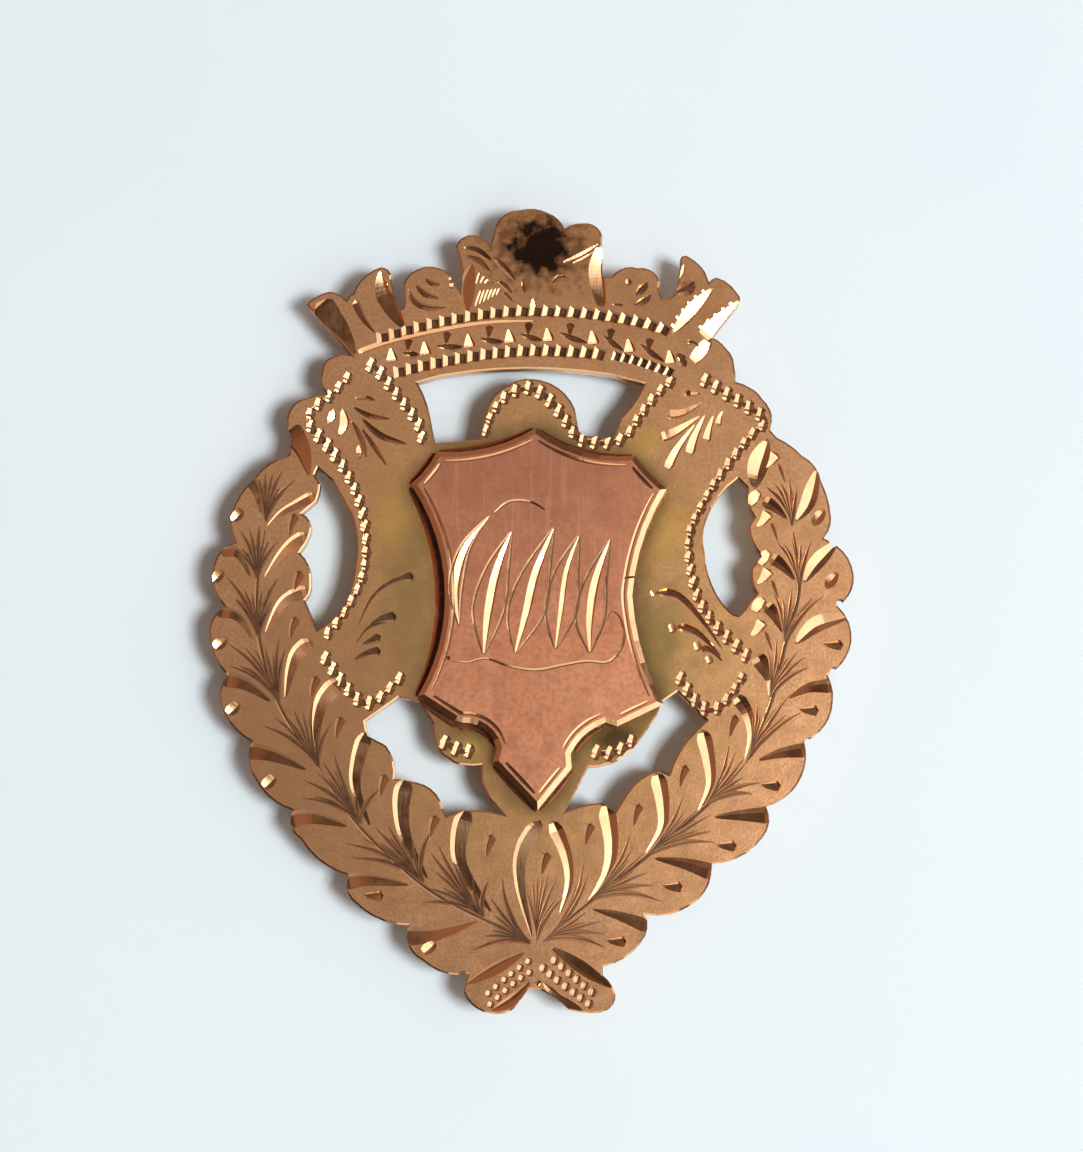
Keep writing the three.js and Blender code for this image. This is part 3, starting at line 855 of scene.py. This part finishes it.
def crown_plumes():
    hatch_up = [Cut([(-3.0 + 0.22 * i, 15.75 + 0.12 * i), (-2.65 + 0.2 * i, 16.8 + 0.02 * i)],
                    0.17, 0.6, even, 0.24, step=0.12) for i in range(6)]
    hatch_down = [Cut([(-2.95 + 0.2 * i, 16.95 + 0.03 * i), (-2.72 + 0.25 * i, 17.75 - 0.2 * i)],
                      0.16, 0.6, even, 0.24, step=0.12) for i in range(4)]
    return [
        # left plumes
        Cut([(-9.2, 13.2), (-9.95, 14.5), (-11.3, 16.1)], 1.6, 0.14, swelling, 0.15),
        Cut([(-8.1, 14.3), (-8.85, 15.2), (-9.35, 16.25)], 0.5, 0.75, swelling, 0.22),
        Cut([(-6.65, 14.55), (-7.35, 15.7), (-7.9, 16.7), (-8.0, 17.8)], 0.85, 0.8, spindle, 0.22),
        Cut([(-6.6, 14.6), (-7.45, 15.95), (-7.68, 17.3)], 0.3, 0.5, spindle, 0.3, core=0.5),
        # left ball
        Cut([(-6.55, 16.9), (-6.2, 16.15), (-5.5, 15.8), (-4.4, 15.8)], 0.36, 0.35, spindle, 0.22, core=0.2),
        Cut([(-6.2, 17.1), (-5.6, 16.5), (-4.8, 16.25)], 0.34, 0.35, spindle, 0.22, core=0.2),
        Cut([(-5.7, 17.4), (-5.2, 17.05), (-4.75, 17.0)], 0.3, 0.35, spindle, 0.22, core=0.2),
        Cut([(-4.3, 16.7), (-4.2, 17.1), (-4.4, 17.5)], 0.3, 0.8),
        # left side of the centre
        Cut([(-3.4, 15.5), (-3.4, 17.0), (-3.1, 18.2)], 0.85, 0.25, spindle, 0.22),
        *hatch_up,
        *hatch_down,
        Cut([(-3.7, 19.0), (-2.9, 18.85), (-2.0, 18.2)], 0.36, 0.7, spindle, 0.22),
        Cut([(-3.6, 18.6), (-2.8, 18.3), (-2.1, 17.6)], 0.3, 0.3, core=0.3),
        Cut([(-2.1, 18.5), (-1.5, 17.95), (-0.85, 17.2)], 0.4, 0.35, core=0.4),
        Cut([(-1.95, 17.3), (-1.5, 17.0), (-1.0, 16.5)], 0.32, 0.4, core=0.4),
        Cut([(-1.7, 16.7), (-1.3, 16.4), (-0.95, 16.0)], 0.24, 0.4, core=0.3),
        Cut([(-0.35, 16.5), (-0.45, 17.4)], 0.3, 0.4, core=0.4),
        # right side of the centre
        Cut([(3.7, 15.7), (3.45, 17.0), (3.38, 18.0), (3.65, 19.15)], 0.8, 0.82, even, 0.23),
        Cut([(1.5, 18.15), (2.6, 18.6), (3.7, 19.3)], 0.28, 0.6, spindle, 0.2),
        Cut([(2.0, 18.1), (2.7, 18.4), (3.4, 18.85)], 0.2, 0.6, spindle, 0.2),
        Cut([(1.0, 17.0), (1.4, 17.4), (1.9, 17.4)], 0.34, 0.4, core=0.3),
        # right ball
        Cut([(4.85, 17.1), (5.3, 17.2)], 0.34, 0.7, step=0.1),
        Cut([(5.45, 16.35), (5.75, 16.75), (6.15, 17.15)], 0.46, 0.35, core=0.3),
        Cut([(5.3, 15.85), (5.8, 16.1), (6.35, 16.5)], 0.4, 0.35, core=0.3),
        Cut([(4.1, 15.95), (4.9, 15.9)], 0.2, 0.6, spindle, 0.22),
        # right plumes
        *ragged([(7.3, 14.35), (8.35, 15.6), (9.55, 16.9)], 0.68, 0.82, spindle, 0.29, 6),
        *ragged([(8.9, 14.1), (9.8, 15.1), (11.0, 16.25)], 1.0, 0.86, tapered, 0.30, 5),
        Cut([(8.3, 12.8), (8.9, 13.5), (9.35, 14.15)], 0.72, 0.85, even, 0.30),
        Cut([(8.0, 14.0), (8.5, 13.9), (8.9, 13.6)], 0.4, 0.4, tapered, 0.25, core=0.3),
        Cut([(7.55, 13.4), (8.1, 12.6)], 0.6, 0.4, core=0.4),
        Cut([(7.5, 16.6), (8.1, 16.8), (8.6, 17.2)], 0.85, 0.45, spindle, 0.2, core=0.3),
        Cut([(7.65, 17.2), (7.9, 17.7), (8.0, 18.2)], 0.24, 0.7, spindle, 0.22),
    ]


def leaf_notches():
    """Where the leaves meet at the rim, the saw has bitten in."""
    left = [(-16.0, 3.5), (-16.45, 0.05), (-16.2, -3.4), (-15.0, -7.0), (-12.7, -10.7), (-9.75, -14.05),
            (-6.75, -16.75), (-3.55, -19.0)]
    right = [(6.25, -16.15), (9.7, -13.45), (12.45, -10.5), (14.35, -7.0), (15.7, -3.35), (16.05, 0.2),
             (15.7, 3.35)]
    return [SawCut(x, y) for x, y in left + right]


def sprigs():
    left_shoulder = [
        ([(-9.4, 10.95), (-8.7, 11.0), (-8.1, 10.8)], 0.255),
        ([(-9.5, 10.6), (-8.5, 10.05), (-7.3, 9.85)], 0.289),
        ([(-9.0, 10.0), (-7.9, 9.0), (-6.4, 8.5)], 0.357),
        ([(-9.0, 9.5), (-8.3, 8.5), (-7.5, 7.3)], 0.255),
        ([(-9.5, 9.9), (-8.9, 8.8), (-8.6, 7.7)], 0.289),
    ]
    left_petals = [
        ([(-9.0, 7.7), (-9.0, 8.1), (-9.1, 8.6)], 0.36),
        ([(-10.15, 8.9), (-9.8, 9.6), (-9.95, 10.5)], 0.5),
        ([(-10.75, 9.6), (-10.45, 10.0), (-10.4, 10.5)], 0.42),
    ]
    level_petals = [
        ([(7.9, 11.35), (8.3, 11.2), (8.9, 11.25)], 0.4),
        ([(7.0, 10.1), (7.9, 10.2), (9.0, 10.8)], 0.6),
    ]
    right_petals = [
        ([(6.6, 8.85), (7.5, 9.2), (8.9, 10.1)], 0.62),
        ([(7.0, 7.1), (7.6, 8.3), (8.6, 9.7)], 0.56),
        ([(8.2, 7.9), (8.5, 8.9), (9.1, 10.2)], 0.6),
        ([(9.1, 8.6), (9.25, 9.3), (9.55, 10.2)], 0.5),
        ([(9.75, 9.4), (9.8, 9.9), (10.05, 10.4)], 0.42),
    ]
    lower_left = [
        ([(-9.1, -1.1), (-8.3, 0.5), (-7.3, 1.3), (-6.1, 1.6)], 0.3),
        ([(-7.2, 1.3), (-6.7, 1.5), (-6.1, 1.6)], 0.6),
        ([(-9.2, -2.0), (-8.5, -1.1), (-7.4, -0.7)], 0.24),
        ([(-8.5, -1.0), (-7.8, -0.65), (-7.0, -0.5)], 0.66),
        ([(-8.9, -2.0), (-8.4, -1.8), (-7.8, -1.5)], 0.56),
        ([(-9.3, -2.8), (-8.6, -2.45), (-7.8, -2.3)], 0.6),
    ]
    lower_right = [
        ([(6.4, 0.75), (7.6, 0.55), (8.8, -0.7), (9.95, -2.3)], 0.6),
        ([(7.5, -1.0), (8.6, -1.4), (9.9, -2.65)], 0.6),
        ([(8.75, -2.15), (9.3, -2.3), (9.95, -2.9)], 0.5),
    ]
    squares = [(6.3, 0.7, 0.34), (7.3, -1.1, 0.5), (8.6, -2.05, 0.5), (9.2, -2.75, 0.46)]
    return [
        *strokes(left_shoulder, 0.5, spindle, 0.2),
        *strokes(left_petals, 0.78, spindle, 0.28),
        *strokes(level_petals, 0.76, tapered, 0.38),
        *strokes(right_petals, 0.76, tapered, 0.28),
        *strokes(lower_left, 0.35, swelling, 0.2, core=0.68),
        *strokes(lower_right, 0.45, tapered, 0.24, core=0.45),
        *(Cut([(x - size / 2, y - 0.1), (x + size / 2, y + 0.1)], size, 0.8, even, 0.24, step=0.1)
          for x, y, size in squares),
    ]


def pearls(points, pitch, size):
    """A row of small upright bright cuts along a curve."""
    below, above = Vector((-0.08, -0.6 * size)), Vector((0.09, 0.6 * size))
    return [Cut([place + below, place, place + above], 1.1 * size, 0.62, even, 0.22, core=0.2, step=0.1)
            for place, _ in paced(points, pitch, pitch, 0.05)]


def crossed_stems():
    return [
        *pearls([(0.8, -17.9), (2.0, -18.95), (3.4, -20.1)], 0.5, 0.42),
        *pearls([(0.2, -18.3), (1.4, -19.3), (3.0, -20.5)], 0.5, 0.42),
        *pearls([(0.3, -18.0), (-1.0, -18.95), (-2.5, -20.2)], 0.52, 0.36),
        *pearls([(0.4, -18.6), (-0.7, -19.3), (-2.2, -20.6)], 0.52, 0.36),
        Cut([(-3.4, -19.5), (-2.0, -18.75), (-0.3, -17.8)], 0.62, 0.3, spindle, 0.2, core=0.12),
        Cut([(-2.1, -20.85), (-0.9, -20.2), (-0.05, -19.3)], 0.6, 0.4, spindle, 0.22, core=0.3),
        Cut([(0.9, -17.5), (2.4, -18.5), (4.2, -19.7)], 0.66, 0.75, spindle, 0.2, core=0.12),
        Cut([(0.5, -19.3), (1.4, -20.2), (2.7, -20.85)], 0.5, 0.3, spindle, 0.22, core=0.2),
        Cut([(0.15, -19.3), (0.45, -19.55)], 0.4, 0.7, even, 0.22, step=0.1),
    ]


def dirt_and_shadow_groove():
    """Old dirt, and painted shadow of the shield, as a dark groove round the corner between plate and shield,
    widest on the left where the shade falls.
    """
    cuts = []
    for line in lines_along(rims("shield", SHIELD_TOP)[0], -0.1):
        middle = line[len(line) // 2]
        if middle.x < 4.5:
            # Painted shadow: the groove widens on the left and lower left, the shield's shaded side.
            width = 0.85 if middle.x < -4 and middle.y < 6.5 else 0.5 if middle.x < 0 else 0.32
            cuts.append(Cut(line, width, 0.5, even, 0.1, core=0.6))
    return cuts


PLATE_CHAMFER = 0.09
PLATE_DROP = 0.042


def build_plate():
    outlines = rims("base_plate", PLATE_TOP)
    plate = slab("engraved_plate", PLATE_GOLD, outlines, PLATE_BACK, PLATE_TOP, PLATE_CHAMFER, PLATE_DROP)
    cuts = leaf_veins() + leaf_crescents() + leaf_nicks() + crown_band() + crown_plumes() + sprigs()
    cuts += crossed_stems() + borders() + dirt_and_shadow_groove() + leaf_notches()
    engrave(plate, cuts, PLATE_TOP)
    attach(plate, "badge")
    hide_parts("base_plate")


# -------- the shield

SHIELD_CHAMFER = 0.27
SHIELD_DROP = 0.11
EDGE_LINE_INSET = 0.47


def edge_lines(outline):
    """A fine cut along each side of the shield, inside its bevel."""
    return [Cut(line, 0.2, 0.55, even, 0.22) for line in lines_along(outline, EDGE_LINE_INSET)]


def flourish():
    """A plain ornament: five leaning leaves over a drawn-out tendril."""
    leaves = [
        ([(-3.75, -1.2), (-3.95, 1.0), (-3.4, 3.1), (-2.1, 4.8)], 0.42, 0.35),
        ([(-2.5, -2.7), (-2.25, -0.3), (-1.8, 1.9), (-1.0, 4.0)], 0.46, 0.8),
        ([(-0.9, -2.6), (-0.3, -0.4), (0.2, 1.7), (1.2, 4.2)], 0.42, 0.95),
        ([(1.2, -2.4), (1.5, -0.3), (1.8, 1.8), (2.5, 3.8)], 0.28, 0.8),
        ([(3.0, -2.6), (3.0, -0.7), (3.3, 1.3), (4.1, 3.6)], 0.42, 0.75),
    ]
    hairlines = [
        [(-4.4, -2.75), (-3.4, -2.95), (-2.4, -2.75), (-1.2, -3.15), (0.2, -3.35), (1.6, -3.1), (2.8, -2.9),
         (4.0, -2.9), (4.75, -1.9), (4.6, -0.7), (4.1, -0.3), (3.85, -0.9)],
        [(-2.1, 4.7), (-1.2, 5.4), (-0.1, 5.4), (0.8, 4.9)],
    ]
    cuts = []
    for points, width, reach in leaves:
        foot, lower, upper, tip = (Vector(point) for point in points)
        cuts.append(Cut(points, width, 0.78, spindle, 0.28))
        for side in (-reach, reach):
            hairlines.append([foot, lower + Vector((side, 0)), upper + Vector((0.75 * side, 0)), tip])
    cuts += [Cut(points, 0.18, 0.6, even, 0.26, core=0.14) for points in hairlines]
    return cuts


def wear():
    """A nick across the right bevel and a pit on the left."""
    nick = Cut([(4.7, 1.42), (5.3, 1.5), (6.0, 1.6)], 0.14, 0.5, even, 0.9, core=0.6, step=0.1)
    pit = Cut([(-4.42, -2.78), (-4.2, -2.66)], 0.24, 0.5, even, 0.5, core=0.5, step=0.08)
    return [nick, pit]


def build_shield():
    outline = rims("shield", SHIELD_TOP)[0]
    shield = slab("engraved_shield", SHIELD_GOLD, [outline], PLATE_TOP, SHIELD_TOP,
                  SHIELD_CHAMFER, SHIELD_DROP)
    engrave(shield, edge_lines(outline) + flourish() + wear(), SHIELD_TOP)
    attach(shield, "badge")
    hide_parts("shield")


# -------- the fittings on the back

WIRE_PARTS = ("hinge_rivet", "pin_knuckle", "pin_stem")
SOFT_EDGE = 0.03


def finish_fittings():
    """The back fittings keep their CAD shape, with softened edges and their own metal."""
    for name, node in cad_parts.items():
        if name in ("base_plate", "shield"):
            continue
        node.data.materials.clear()
        node.data.materials.append(WIRE_GOLD if name in WIRE_PARTS else FITTING_GOLD)
        bevel = node.modifiers.new("soft_edges", "BEVEL")
        bevel.width = SOFT_EDGE * MM
        bevel.segments = 2
        bevel.limit_method = "ANGLE"
        bevel.angle_limit = math.radians(40)
        node.modifiers.new("smooth_faces", "WEIGHTED_NORMAL")


# -------- card, light and camera

VIEW_CENTRE = Vector((0.50, 1.62, PLATE_TOP)) * MM
VIEW_HEIGHT = 59.95 * MM
CAMERA_TILT = math.radians(6)
LENS, SENSOR = 100, 36


def add_card():
    bpy.ops.mesh.primitive_plane_add(size=1.2, location=(0, 0, 0))
    floor = bpy.context.object
    floor.name = "card"
    floor.data.materials.append(card())


def add_camera():
    data = bpy.data.cameras.new("camera")
    data.lens, data.sensor_width = LENS, SENSOR
    data.clip_start = 0.005
    camera = bpy.data.objects.new("camera", data)
    bpy.context.scene.collection.objects.link(camera)
    distance = VIEW_HEIGHT * LENS / SENSOR
    towards = Vector((0, -math.sin(CAMERA_TILT), math.cos(CAMERA_TILT)))
    camera.location = VIEW_CENTRE + towards * distance
    camera.rotation_euler = (CAMERA_TILT, 0, 0)
    bpy.context.scene.camera = camera


def panel(name, azimuth, elevation, distance, width, height, radiance, colour):
    """A rectangular light seen from the badge in one direction, facing it."""
    data = bpy.data.lights.new(name, "AREA")
    data.shape = "RECTANGLE"
    data.size, data.size_y = width, height
    data.energy = radiance * math.pi * width * height
    data.color = colour
    light = bpy.data.objects.new(name, data)
    bpy.context.scene.collection.objects.link(light)
    a, e = math.radians(azimuth), math.radians(elevation)
    away = Vector((math.cos(e) * math.cos(a), math.cos(e) * math.sin(a), math.sin(e)))
    light.location = away * distance
    light.rotation_euler = away.to_track_quat("Z", "Y").to_euler()


def add_light():
    panel("window", -18, 53, 0.8, 0.84, 0.32, 1.46, (0.97, 0.99, 1.0))
    panel("lamp", -18, 65, 0.65, 0.16, 0.16, 37.5, (0.95, 0.99, 1.0))
    panel("ceiling", 97, 79, 0.9, 0.6, 0.42, 0.37, (1.0, 0.99, 0.97))
    panel("front", -85, 46, 0.9, 0.5, 0.3, 0.9, (1.0, 0.93, 0.85))
    panel("wood", 142, 50, 0.9, 1.8, 0.5, 0.22, (1.0, 0.50, 0.38))
    bpy.context.scene.world = room()
    bpy.context.scene.view_settings.view_transform = "Standard"


def room():
    """A room that is pale low down on the window's side and dim above and opposite."""
    world = bpy.data.worlds.new("room")
    world.use_nodes = True
    nodes = Nodes(world.node_tree)
    direction = nodes.add("ShaderNodeTexCoord", {})["Generated"]
    axes = nodes.add("ShaderNodeSeparateXYZ", {"Vector": direction})
    lowness = nodes.ramp(axes["Z"], 0.30, 0.60, 0.62, 0.12, "SMOOTHSTEP")
    side = nodes.ramp(axes["X"], -0.6, 0.8, 0.42, 1.0, "SMOOTHSTEP")
    colour = nodes.mix(lowness, (1.0, 0.58, 0.40), (0.84, 0.93, 1.0))
    strength = nodes.math("MULTIPLY", lowness, side)
    nodes.fill(world.node_tree.nodes["Background"], {"Color": colour, "Strength": strength})
    return world


build_plate()
build_shield()
finish_fittings()
add_card()
add_camera()
add_light()
